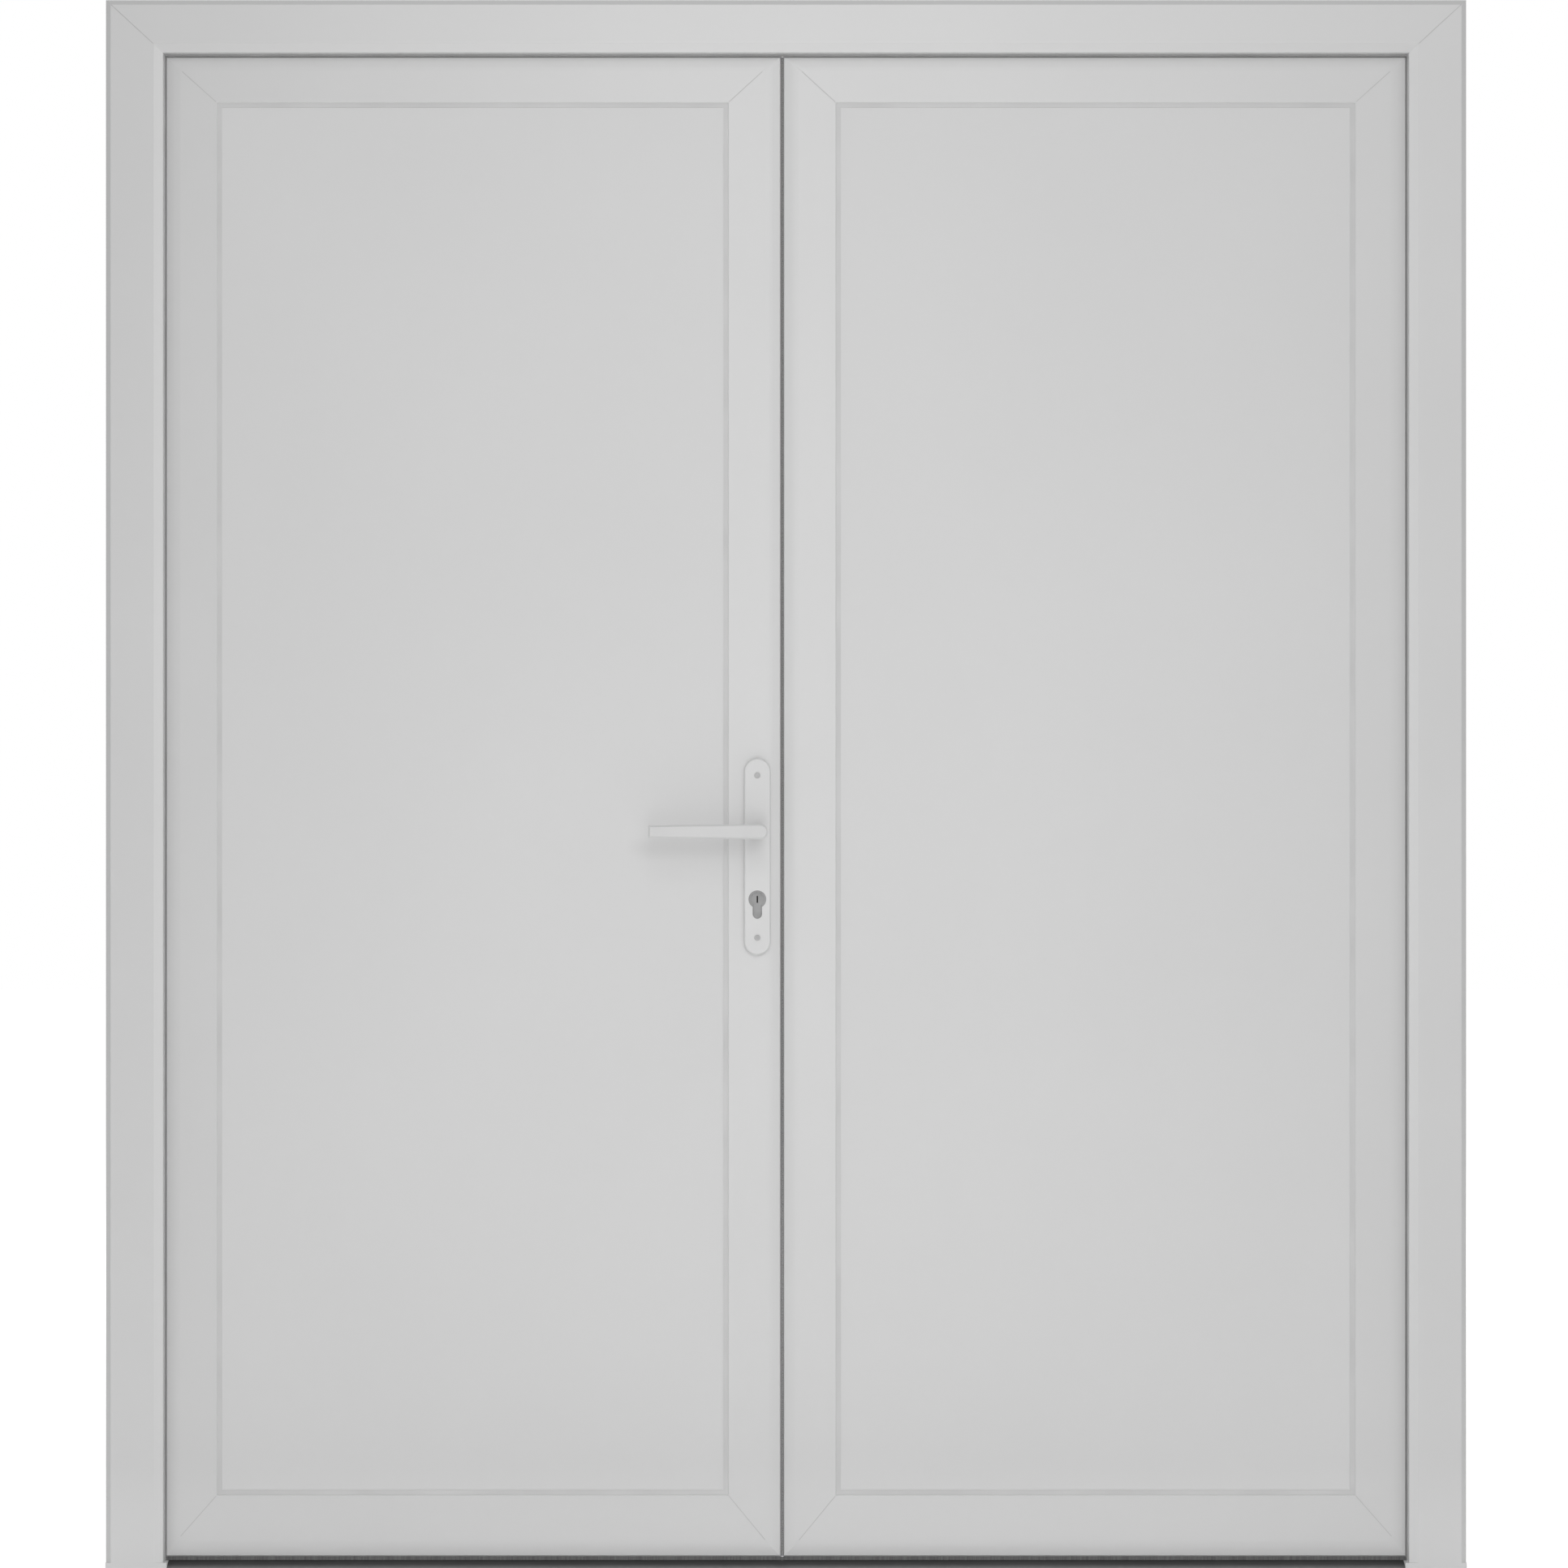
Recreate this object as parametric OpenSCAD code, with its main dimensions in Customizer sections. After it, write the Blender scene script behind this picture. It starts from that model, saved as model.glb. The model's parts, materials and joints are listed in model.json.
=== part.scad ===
// Prehung double door: a mitred frame on a low sill, with two panelled leaves.
// The left leaf carries the lock and is used first; the right leaf is held by flush bolts.
// X runs along the frame, Y from the front (the side the lip covers) to the back, Z up.
// The origin is on the floor, in the middle of the frame's width and depth. Leaves swing to +Y.

/* [Frame] */
// Overall width of the frame
frame_w = 1800; // [1500:1:2400]
// Overall height, sill included
frame_h = 2087; // [1900:1:2500]
// Depth of the frame profile
frame_d = 60; // [56:1:90]
// Face width of a jamb, lip included
jamb_face = 76; // [66:1:110]
// Face height of the head, lip included
head_face = 70; // [62:1:110]
// Bevel along the outer front edge
frame_bevel = 7; // [1:0.5:12]
// Width of the sloped inner border of the face
slope_w = 12; // [6:0.5:18]
// Fall of that sloped border
slope_d = 4; // [1:0.5:8]
// Thickness of the front lip
lip_d = 20; // [14:0.5:26]
// How far the lip stands out from the rebate wall
lip_reach = 13; // [11:0.5:18]
// How far the lip covers the edge of a leaf
lip_cover = 5; // [2:0.5:8]
// Depth of the wall-side groove
groove_d = 6; // [2:0.5:12]
// Width of the wall-side groove
groove_w = 20; // [10:1:30]

/* [Wall fixing] */
// Radius of a frame screw hole
fix_r = 3.75; // [2.5:0.25:6]
// Radius of the counterbore for its head
fix_head_r = 7; // [6.5:0.25:9]
// Depth of the counterbore
fix_head_d = 8; // [3:0.5:16]
// Height of the lowest hole
fix_low = 150; // [120:1:400]
// Spacing of the holes up the jamb
fix_pitch = 570; // [300:1:700]
// Distance of the holes from the frame's back
fix_inset = 11; // [9:0.5:16]

/* [Sill] */
// Height of the sill
sill_h = 20; // [15:0.5:30]
// Height of its front edge
sill_nose_h = 13; // [6:0.5:14]
// Depth of the sloped front part
sill_slope = 24; // [10:0.5:30]
// How far a foot block reaches past the jamb's lip
foot_past = 5; // [1:0.5:12]

/* [Leaves] */
// How far a leaf's face stands into the lip's opening
leaf_nose = 2; // [0.5:0.5:6]
// Gap between the lip and a leaf's face at the sides
side_gap = 1.5; // [1:0.25:4]
// The same gap under the head
top_gap = 3; // [1:0.25:6]
// Gap between the sill and a leaf
bottom_gap = 5.5; // [3:0.25:10]
// Space for a compressed seal
seal_gap = 4; // [3:0.25:6]
// Thickness of the flange behind the frame
flange_t = 16; // [12:0.5:24]
// How far the flange covers the frame's back
flange_cover = 8; // [7:0.5:14]
// Width of a hinge stile
stile_hinge_w = 75; // [62:0.5:110]
// Width of a meeting stile
stile_meet_w = 70; // [66:0.5:110]
// Height of a top rail
rail_top_h = 69.5; // [60:0.5:120]
// Height of a bottom rail
rail_bottom_h = 82; // [60:0.5:200]
// Middle of the meeting gap, from the middle of the frame
meet_x = -5.2; // [-60:0.1:60]
// Width of the meeting gap
meet_gap = 3.6; // [3.4:0.1:6]
// Width of the rounded border along a leaf's front edges
border_w = 20; // [10:0.5:28]
// Fall of that rounded border
border_d = 3.4; // [1:0.1:3.8]
// Chamfer at the edges of a leaf
edge_chamfer = 1.5; // [0.5:0.25:2]
// Width of the groove along a welded mitre
weld_w = 0.8; // [0.4:0.1:2]
// Depth of that groove
weld_d = 0.4; // [0.2:0.1:1]

/* [Panels] */
// Thickness of the panel's edge
panel_t = 24; // [16:1:28]
// Thickness of the leaf's lip in front of the panel
panel_lip = 8; // [6:0.5:12]
// Depth of the panel rebate
rebate = 18; // [14:0.5:22]
// Air around the panel's edge
panel_air = 4; // [2:0.5:6]
// Width of the visible panel seal
seam_w = 6; // [3:0.25:10]
// Fall from the leaf's face to the panel's face
field_fall = 2.5; // [0.5:0.25:5]
// Fall from the leaf's face to the panel seal
seam_fall = 1.5; // [0.25:0.25:4]
// Thickness of the seals behind and before the panel's edge
panel_seal_t = 3; // [2:0.25:4]

/* [Hinges] */
// Length of a hinge
hinge_h = 100; // [70:1:160]
// Radius of a knuckle
knuckle_r = 8; // [6.5:0.25:10]
// Radius of a hinge pin
hinge_pin_r = 4; // [3:0.25:5]
// Thickness of a hinge wing
wing_t = 3; // [2:0.25:5]
// Width of a hinge wing
wing_w = 34; // [24:1:44]
// Distance of the end hinges from the ends of a leaf
hinge_inset = 230; // [150:1:400]
// Hinges on each leaf
hinge_count = 3; // [2:1:4]

/* [Lever and plates] */
// Height of the lever's axis
lever_z = 987; // [900:1:1100]
// Distance of the lever's axis from the meeting edge
backset = 31; // [28:0.5:34]
// Length of the lever from its axis
lever_len = 143; // [100:1:160]
// Height of the lever at its hub
lever_hub_h = 20; // [16:0.5:26]
// Height of the lever at its tip
lever_tip_h = 16; // [10:0.5:20]
// Thickness of the lever's grip at its hub
lever_t = 13; // [9:0.5:16]
// Distance of the grip's front from the plate
lever_reach = 56; // [45:0.5:70]
// Radius of the lever's neck
neck_r = 9; // [8:0.25:11]
// Width of a handle plate
plate_w = 35; // [34:0.5:44]
// Height of a handle plate
plate_h = 260; // [240:1:300]
// Thickness of a handle plate
plate_t = 8; // [6:0.5:12]
// Wall of the hollow plate
plate_wall = 2.5; // [1.5:0.25:3]
// Middle of the plate below the lever's axis
plate_drop = 33.5; // [25:0.5:40]
// Spacing of the two plate screws
screw_pitch = 215; // [200:1:220]
// Radius of a plate screw's head
screw_head_r = 4; // [3:0.25:5]
// Radius of a plate screw
screw_r = 2.5; // [1.5:0.25:3]
// Width of the square spindle
spindle_w = 8; // [6:0.5:9]

/* [Lock] */
// Distance from the lever's axis down to the key cylinder
lever_to_key = 90; // [85:0.5:95]
// Radius of the cylinder's round part
cyl_r = 8.5; // [8:0.25:9]
// Width of the cylinder's tail
cyl_tail_w = 10; // [9:0.25:11]
// Distance from the key's axis to the end of the tail
cyl_drop = 24.5; // [23:0.25:26]
// Radius of a key plug
plug_r = 6.5; // [5.5:0.25:7]
// Radius of the plate's round cylinder opening
cyl_cut_r = 11.75; // [9.5:0.25:12]
// Air between the plate and the cylinder's tail
cyl_cut_air = 1.2; // [0.4:0.1:1.5]
// Width of the lock case, back from its faceplate
case_w = 45; // [44.5:0.5:47]
// Thickness of the lock case
case_t = 16; // [15:0.5:20]
// Sheet thickness of the lock case
case_wall = 1.5; // [1:0.25:2]
// Length of the faceplate
face_h = 240; // [220:1:320]
// Width of the faceplate and the strike
face_w = 20; // [18:0.5:24]
// Thickness of the faceplate and the strike
face_t = 3; // [2:0.25:4]
// Throw of the deadbolt
dead_throw = 20; // [14:0.5:22]
// Height of the deadbolt
dead_h = 32; // [24:1:34]
// Throw of the latch
latch_throw = 12; // [8:0.5:14]
// Height of the latch
latch_h = 16; // [12:0.5:18]
// Play of a thrown bolt in the strike
strike_air = 1.5; // [1:0.25:2]
// Thickness of both bolts
bolt_t = 11; // [8:0.25:11.5]

/* [Flush bolts] */
// Radius of a flush bolt's rod
rod_r = 5; // [4:0.25:6]
// Throw of a flush bolt
rod_throw = 20; // [14:0.5:22]
// Distance of a rod's axis from the meeting edge
rod_inset = 16; // [14:0.5:20]
// Length of a flush bolt's edge plate
bolt_plate_h = 160; // [120:1:220]
// Distance of the edge plate's middle from the end of the leaf
bolt_plate_inset = 280; // [200:1:400]
// Height of the thumb slide
thumb_h = 18; // [12:0.5:24]
// Width of the thumb slide
thumb_w = 10; // [8:0.5:11]

/* [Clearances] */
// Air between a seal and what passes it
seal_air = 0.3; // [0.3:0.05:0.8]
// Air around sliding bolts
slide_air = 0.2; // [0.1:0.05:0.4]
// Radial clearance of turning pieces
turn_air = 0.05; // [0.02:0.01:0.1]

/* [Hidden] */
$fn = 48;
far = 400;

y_front = -frame_d / 2;
y_rear = frame_d / 2;
y_lip = y_front + lip_d;
y_leaf = y_lip - leaf_nose;
y_step = y_lip + seal_gap;
y_flange = y_rear + seal_gap;
y_back = y_flange + flange_t;
y_lock = (y_leaf + y_back) / 2;

jamb_wall = jamb_face - lip_reach;
head_wall = head_face - lip_reach;
opening_x = frame_w / 2 - jamb_face;
opening_z = frame_h - head_face;

leaf_edge = opening_x + lip_cover;
leaf_top = opening_z + lip_cover;
leaf_low = sill_h + bottom_gap;
step_side = lip_cover + side_gap;
step_top = lip_cover + top_gap;
flange_w = lip_reach - lip_cover + flange_cover;
active_w = leaf_edge + meet_x - meet_gap / 2;
passive_w = leaf_edge - meet_x - meet_gap / 2;
active_edge = meet_x - meet_gap / 2;
passive_edge = meet_x + meet_gap / 2;
border_r = (border_w * border_w + border_d * border_d) / (2 * border_d);
lip_chamfer = 1;
mitre_set = 2.5;
mitre_past = 5;
mitre_out = -2 * flange_w;
hinge_in = stile_hinge_w + mitre_past;
meet_in = stile_meet_w + mitre_past;

panel_low = leaf_low + rail_bottom_h;
panel_top = leaf_top - rail_top_h;
y_rebate = y_leaf + panel_lip;
y_panel = y_rebate + panel_seal_t;
y_panel_rear = y_panel + panel_t;
y_bead = y_panel_rear + panel_seal_t;
bead_slope = 4;
bead_set = 0.5;
bead_air = 0.15;
seal_tail = 8;

hinge_gap = 2;
knuckle_air = 0.5;
hinge_u = -flange_w - hinge_gap - knuckle_r;
hinge_y = y_back + wing_t - knuckle_r;
hinge_x = leaf_edge - hinge_u;
knuckle_h = hinge_h / 3;
hinge_low = leaf_low + hinge_inset;
hinge_step = (leaf_top - leaf_low - 2 * hinge_inset) / (hinge_count - 1);

lever_x = active_edge - backset;
key_z = lever_z - lever_to_key;
plate_z = lever_z - plate_drop;
plate_chamfer = 1.5;
boss_r = 7;
grub_r = 2;
spindle_end = 34;
hub_past = 4;

case_x1 = active_edge - face_t;
case_x0 = case_x1 - case_w;
case_low = key_z - 40;
case_top = lever_z + 40;
follower_r = 12;
hub_r = spindle_w * 0.71 + 3;
dead_z = (lever_z + key_z) / 2;
dead_len = 33;
latch_z = lever_z + follower_r + 3 + latch_h / 2;
latch_len = 27;
cam_t = 9.6;
cam_gap = 10;
cam_reach = 14.5;
web_top = 16;
cyl_proud = 1;
y_cyl_front = y_leaf - plate_t - cyl_proud;
y_cyl_rear = y_back + plate_t + cyl_proud;
cyl_screw_r = 2.5;
cyl_screw_z = key_z - (web_top + cyl_drop) / 2;
keyway_w = 2;
keyway_h = 9;
keyway_d = 25;
collar_air = 0.1;
collar_sunk = 0.6;
collar_foot = 1.5;

meet_lip_t = 1;
meet_lip_set = 0.5;
meet_lip_in = 5;
lip_slit = 0.45;

rod_x = passive_edge + rod_inset;
thumb_set = 0.8;
keep_t = 2;
keep_air = 1;
keep_hole = 2 * (rod_r + keep_air);
keep_slot = 28;
keep_depth = 16;
keep_end = 9;

white = "whitesmoke";
grey = "gainsboro";
black = "dimgray";
metal = "silver";

// Extrudes an outline drawn in X and Z from y0 to y1
module slab_y(y0, y1) {
    translate([0, y1, 0]) rotate([90, 0, 0]) linear_extrude(y1 - y0) children();
}

// A cylinder along Y from y0 to y1
module rod_y(r, y0, y1) {
    translate([0, y0, 0]) rotate([-90, 0, 0]) cylinder(r = r, h = y1 - y0);
}

// A cylinder along X from x0 to x1
module rod_x_axis(r, x0, x1) {
    translate([x0, 0, 0]) rotate([0, 90, 0]) cylinder(r = r, h = x1 - x0);
}

// A box between two corners
module box(low, high) {
    translate(low) cube(high - low);
}

// Puts a leaf's own frame, with u from its hinge edge, on the left or the right side
module at_leaf(active) {
    mirror([active ? 0 : 1, 0, 0]) translate([-leaf_edge, 0, 0]) children();
}

function leaf_w(active) = active ? active_w : passive_w;

// Height at u of the straight line through p and q
function line_at(p, q, u) = p[1] + (q[1] - p[1]) * (u - p[0]) / (q[0] - p[0]);

// Mitre lines of a leaf, as heights over u; each leaves the outline a little beside the corner
function hinge_mitre_top(u) = line_at([0, leaf_top - mitre_set], [stile_hinge_w, panel_top], u);
function hinge_mitre_low(u) = line_at([mitre_set, leaf_low], [stile_hinge_w, panel_low], u);
function meet_mitre_top(u, w) = line_at([w - mitre_set, leaf_top - step_top], [w - stile_meet_w, panel_top], u);
function meet_mitre_low(u, w) = line_at([w - mitre_set, leaf_low], [w - stile_meet_w, panel_low], u);

// Section of a frame member, from its outer edge inwards
module frame_section(face) {
    wall = face - lip_reach;
    groove_y = (y_front + frame_bevel + y_rear) / 2;
    difference() {
        polygon([
            [frame_bevel, y_front], [face - slope_w, y_front],
            [face - 1, y_front + slope_d], [face, y_front + slope_d + 1],
            [face, y_lip], [wall, y_lip], [wall, y_rear], [0, y_rear], [0, y_front + frame_bevel]
        ]);
        translate([-1, groove_y - groove_w / 2]) square([groove_d + 1, groove_w]);
    }
}

// Groove along a welded mitre from p to q, drawn in X and Z
module weld_line(p, q) {
    d = q - p;
    translate(p) rotate(atan2(d[1], d[0])) translate([0, -weld_w / 2]) square([norm(d), weld_w]);
}

// Cuts the groove into a front face and a back face
module weld_cut(p, q, y_face, y_rear_face) {
    slab_y(y_face - 1, y_face + weld_d) weld_line(p, q);
    slab_y(y_rear_face - weld_d, y_rear_face + 1) weld_line(p, q);
}

module frame_weld_cut() {
    for (s = [-1, 1])
        weld_cut([s * frame_w / 2, frame_h], [s * opening_x, opening_z], y_front, y_rear);
}

// Heights of the wall fixing holes that fit the jamb
function fix_heights() = [for (z = [fix_low : fix_pitch : opening_z - fix_low]) z];

module jamb() {
    color(white) difference() {
        intersection() {
            translate([-frame_w / 2, 0, sill_h]) linear_extrude(frame_h - sill_h) frame_section(jamb_face);
            slab_y(-far, far) polygon([
                [-frame_w / 2, 0], [-opening_x, 0], [-opening_x, opening_z], [-frame_w / 2, frame_h]
            ]);
        }
        frame_weld_cut();
        for (z = fix_heights()) translate([-frame_w / 2, y_rear - fix_inset, z]) {
            rod_x_axis(fix_r, -1, jamb_face);
            rod_x_axis(fix_head_r, jamb_wall - fix_head_d, jamb_face);
        }
    }
}

module jamb_left() jamb();
module jamb_right() mirror([1, 0, 0]) jamb();

module head() {
    color(white) difference() {
        intersection() {
            translate([-frame_w / 2, 0, frame_h]) rotate([0, 90, 0])
                linear_extrude(frame_w) frame_section(head_face);
            slab_y(-far, far) polygon([
                [-frame_w / 2, frame_h], [-opening_x, opening_z],
                [opening_x, opening_z], [frame_w / 2, frame_h]
            ]);
        }
        frame_weld_cut();
        translate([rod_x, y_lock, frame_h - head_wall]) keep_cut(keep_slot);
    }
}

// Recess and pocket for a flush bolt's keep, cut up from z = 0; the slot is the pocket's length along X
module keep_cut(slot) {
    plate = slot + 2 * keep_end;
    translate([-slot / 2, -keep_hole / 2, 0]) cube([slot, keep_hole, keep_depth]);
    translate([-plate / 2, -face_w / 2, -1]) cube([plate, face_w, keep_t + 1]);
}

module keep_body(slot) {
    plate = slot + 2 * keep_end;
    color(metal) difference() {
        translate([-plate / 2, -face_w / 2, 0]) cube([plate, face_w, keep_t]);
        translate([-slot / 2, -keep_hole / 2, -1]) cube([slot, keep_hole, keep_t + 2]);
    }
}

// The head's keep has a long slot, so that a leaf that has dropped can still be bolted
module head_keep() translate([rod_x, y_lock, frame_h - head_wall]) keep_body(keep_slot);
module sill_keep() translate([rod_x, y_lock, sill_h - keep_t]) keep_body(keep_hole);

module sill() {
    half = opening_x - foot_past;
    top_y = y_front + sill_slope;
    color(black) difference() {
        translate([-half, 0, 0]) rotate([90, 0, 90]) linear_extrude(2 * half) polygon([
            [y_front, 0], [y_front, sill_nose_h - 2], [y_front + 2, sill_nose_h],
            [top_y, sill_h], [y_rear - 1, sill_h], [y_rear, sill_h - 1], [y_rear, 0]
        ]);
        translate([rod_x, y_lock, sill_h]) mirror([0, 0, 1]) keep_cut(keep_hole);
    }
}

module foot() {
    c = 1;
    color(white) translate([-frame_w / 2, 0, 0]) linear_extrude(sill_h) polygon([
        [c, y_front], [jamb_face + foot_past, y_front], [jamb_face + foot_past, y_rear],
        [c, y_rear], [0, y_rear - c], [0, y_front + c]
    ]);
}

module foot_left() foot();
module foot_right() mirror([1, 0, 0]) foot();

// Seal on the back of the lip, round the jambs and the head
module frame_seal() {
    out = lip_reach / 2;
    in_x = opening_x - side_gap + seal_air;
    in_z = opening_z - top_gap + seal_air;
    color(black) slab_y(y_lip, y_step - seal_air) difference() {
        translate([-opening_x - out, sill_h]) square([2 * (opening_x + out), opening_z + out - sill_h]);
        translate([-in_x, 0]) square([2 * in_x, in_z]);
    }
}

// Leaf frames

// Fall of the rounded border at distance a from the edge
function border_fall(a) = border_r - sqrt(border_r * border_r - (border_w - a) * (border_w - a));

// What the rounded border and its end chamfer take off a square corner at the origin
module border_cut() {
    c = edge_chamfer;
    past = 0.2;
    slope = (border_d + c - border_fall(c)) / c;
    difference() {
        translate([-1, -1]) square([border_w + 1, border_d + 1 + past]);
        translate([border_w, border_r]) circle(border_r, $fn = 360);
    }
    polygon([
        [-past, -2], [c + past, -2], [c + past, border_fall(c) - past * slope],
        [-past, border_d + c + past * slope]
    ]);
}

// Outline across a whole leaf, from its hinge edge to its meeting edge
module leaf_across(active) {
    c = edge_chamfer;
    w = leaf_w(active);
    difference() {
        polygon([
            [step_side, y_leaf], [w, y_leaf], [w, y_back - c], [w - c, y_back],
            [c - flange_w, y_back], [-flange_w, y_back - c], [-flange_w, y_flange],
            [0, y_flange], [0, y_step], [step_side, y_step]
        ]);
        translate([step_side, y_leaf]) border_cut();
        translate([w, y_leaf]) mirror([1, 0]) border_cut();
    }
}

// Outline up a whole leaf, from its bottom edge to its top flange
module leaf_upright() {
    c = edge_chamfer;
    front_top = leaf_top - step_top;
    flange_top = leaf_top + flange_w;
    difference() {
        polygon([
            [leaf_low, y_leaf], [front_top, y_leaf], [front_top, y_step], [leaf_top, y_step],
            [leaf_top, y_flange], [flange_top, y_flange], [flange_top, y_back - c],
            [flange_top - c, y_back], [leaf_low + c, y_back], [leaf_low, y_back - c]
        ]);
        translate([leaf_low, y_leaf]) border_cut();
        translate([front_top, y_leaf]) mirror([1, 0]) border_cut();
    }
}

// Extrudes an outline drawn in Z and Y along the whole width of a leaf
module along_leaf(active) {
    reach = leaf_w(active) + flange_w + 2;
    translate([leaf_w(active) + 1, 0, 0]) rotate([0, -90, 0]) linear_extrude(reach) children();
}

// Extrudes an outline drawn in X and Y along the whole height of a leaf
module up_leaf() {
    translate([0, 0, leaf_low - 1]) linear_extrude(leaf_top + flange_w - leaf_low + 2) children();
}

// Section of the chamfered mouth of the panel opening, from a to b
module mouth(a, b) {
    e = lip_chamfer;
    polygon([[a - 2 * e, y_leaf - e], [b + 2 * e, y_leaf - e], [b, y_leaf + e], [a, y_leaf + e]]);
}

// Points on a leaf's mitre lines, at u on the hinge side and as far from the edge on the meeting side
function hinge_top_point(u) = [u, hinge_mitre_top(u)];
function hinge_low_point(u) = [u, hinge_mitre_low(u)];
function meet_top_point(u, w) = [w - u, meet_mitre_top(w - u, w)];
function meet_low_point(u, w) = [w - u, meet_mitre_low(w - u, w)];

// The four mitres of a leaf, as pairs of an outer and an inner point
function mitre_lines(w) = [
    [hinge_top_point(mitre_out), hinge_top_point(hinge_in)],
    [hinge_low_point(mitre_out), hinge_low_point(hinge_in)],
    [meet_top_point(-mitre_past, w), meet_top_point(meet_in, w)],
    [meet_low_point(-mitre_past, w), meet_low_point(meet_in, w)]
];

// The four members of a leaf in one, before the mitres part them
module leaf_ring(active) {
    w = leaf_w(active);
    difference() {
        intersection() {
            up_leaf() leaf_across(active);
            along_leaf(active) leaf_upright();
        }
        slab_y(y_leaf - 1, y_back) panel_rect(active, 0);
        slab_y(y_rebate, y_back + 1) panel_rect(active, rebate);
        intersection() {
            up_leaf() mouth(stile_hinge_w, w - stile_meet_w);
            along_leaf(active) mouth(panel_low, panel_top);
        }
        for (m = mitre_lines(w)) weld_cut(m[0], m[1], y_leaf, y_back);
        meeting_groove(active);
    }
}

module leaf_member(active, outline) {
    at_leaf(active) intersection() {
        leaf_ring(active);
        slab_y(-far, far) polygon(outline);
    }
}

module hinge_stile(active) {
    color(white) leaf_member(active, [
        hinge_low_point(mitre_out), hinge_low_point(hinge_in),
        hinge_top_point(hinge_in), hinge_top_point(mitre_out)
    ]);
}

module meeting_stile(active) {
    w = leaf_w(active);
    leaf_member(active, [
        meet_low_point(meet_in, w), meet_low_point(-mitre_past, w),
        meet_top_point(-mitre_past, w), meet_top_point(meet_in, w)
    ]);
}

module top_rail(active) {
    w = leaf_w(active);
    high = leaf_top - mitre_out;
    leaf_member(active, [
        hinge_top_point(mitre_out), hinge_top_point(hinge_in), meet_top_point(meet_in, w),
        meet_top_point(-mitre_past, w), [w + mitre_past, high], [mitre_out, high]
    ]);
}

module bottom_rail(active) {
    w = leaf_w(active);
    leaf_member(active, [
        hinge_low_point(mitre_out), meet_low_point(-mitre_past, w),
        meet_low_point(meet_in, w), hinge_low_point(hinge_in)
    ]);
}

// Rectangle of the panel opening, grown by g on every side
module panel_rect(active, g) {
    translate([stile_hinge_w - g, panel_low - g])
        square([leaf_w(active) - stile_hinge_w - stile_meet_w + 2 * g, panel_top - panel_low + 2 * g]);
}

module panel(active) {
    color(white) at_leaf(active) {
        slab_y(y_panel, y_panel_rear) panel_rect(active, rebate - panel_air);
        slab_y(y_leaf + field_fall, y_panel) panel_rect(active, -seam_w);
    }
}

// Front seal: a nose in the seam and a tail behind the leaf's lip
module panel_seal(active) {
    color(grey) at_leaf(active) {
        slab_y(y_leaf + seam_fall, y_panel) difference() {
            panel_rect(active, 0);
            panel_rect(active, -seam_w);
        }
        slab_y(y_rebate, y_panel) difference() {
            panel_rect(active, seal_tail);
            panel_rect(active, 0);
        }
    }
}

module inner_seal(active) {
    color(black) at_leaf(active) slab_y(y_panel_rear, y_bead) difference() {
        panel_rect(active, rebate - panel_air - 2);
        panel_rect(active, rebate - panel_air - 2 - seal_tail);
    }
}

// A bead as long as the rebate, mitred at both ends, lying along X with its foot on Z = 0
module bead(len) {
    intersection() {
        translate([-len / 2, 0, 0]) rotate([90, 0, 90]) linear_extrude(len) polygon([
            [y_bead, 0], [y_bead, rebate], [y_bead + bead_slope, rebate],
            [y_back - bead_set, bead_slope], [y_back - bead_set, 0]
        ]);
        slab_y(-far, far) polygon([
            [bead_air - len / 2, 0], [len / 2 - bead_air, 0],
            [len / 2 - rebate - bead_air, rebate], [rebate + bead_air - len / 2, rebate]
        ]);
    }
}

module beads(active) {
    long = panel_top - panel_low + 2 * rebate;
    wide = leaf_w(active) - stile_hinge_w - stile_meet_w + 2 * rebate;
    mid = stile_hinge_w + wide / 2 - rebate;
    color(white) at_leaf(active) translate([mid, 0, (panel_low + panel_top) / 2]) {
        for (turn = [0, 180]) rotate([0, turn, 0]) translate([0, 0, -long / 2]) bead(wide);
        for (turn = [90, 270]) rotate([0, turn, 0]) translate([0, 0, -wide / 2]) bead(long);
    }
}

// Seal on the flange, up the hinge side and along the top
module flange_seal(active) {
    inset = 2;
    far_edge = flange_w - inset;
    near_edge = flange_w - flange_cover + 1;
    color(black) at_leaf(active) slab_y(y_rear + seal_air, y_flange) difference() {
        translate([-far_edge, leaf_low]) square([leaf_w(active) + far_edge, leaf_top + far_edge - leaf_low]);
        translate([-near_edge, 0]) square([leaf_w(active) + near_edge + 1, leaf_top + near_edge]);
    }
}

// Two strips under the leaf, near its front and its back
module bottom_seal(active) {
    strip = 4;
    front_inset = border_d + edge_chamfer + 0.5;
    rear_inset = 1;
    color(black) at_leaf(active) for (y = [y_leaf + front_inset, y_rear - rear_inset - strip])
        translate([step_side, y, sill_h + seal_air])
            cube([leaf_w(active) - step_side, strip, bottom_gap - seal_air]);
}

// Hinges

function hinge_heights() = [for (i = [0 : hinge_count - 1]) hinge_low + i * hinge_step];

// One knuckle on the hinge axis, from z0 to z1, without its bore
module knuckle(z0, z1) {
    translate([hinge_u, hinge_y, z0]) cylinder(r = knuckle_r, h = z1 - z0);
}

module pin_bore() {
    translate([hinge_u, hinge_y, -hinge_h]) cylinder(r = hinge_pin_r + turn_air, h = 2 * hinge_h);
}

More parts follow.
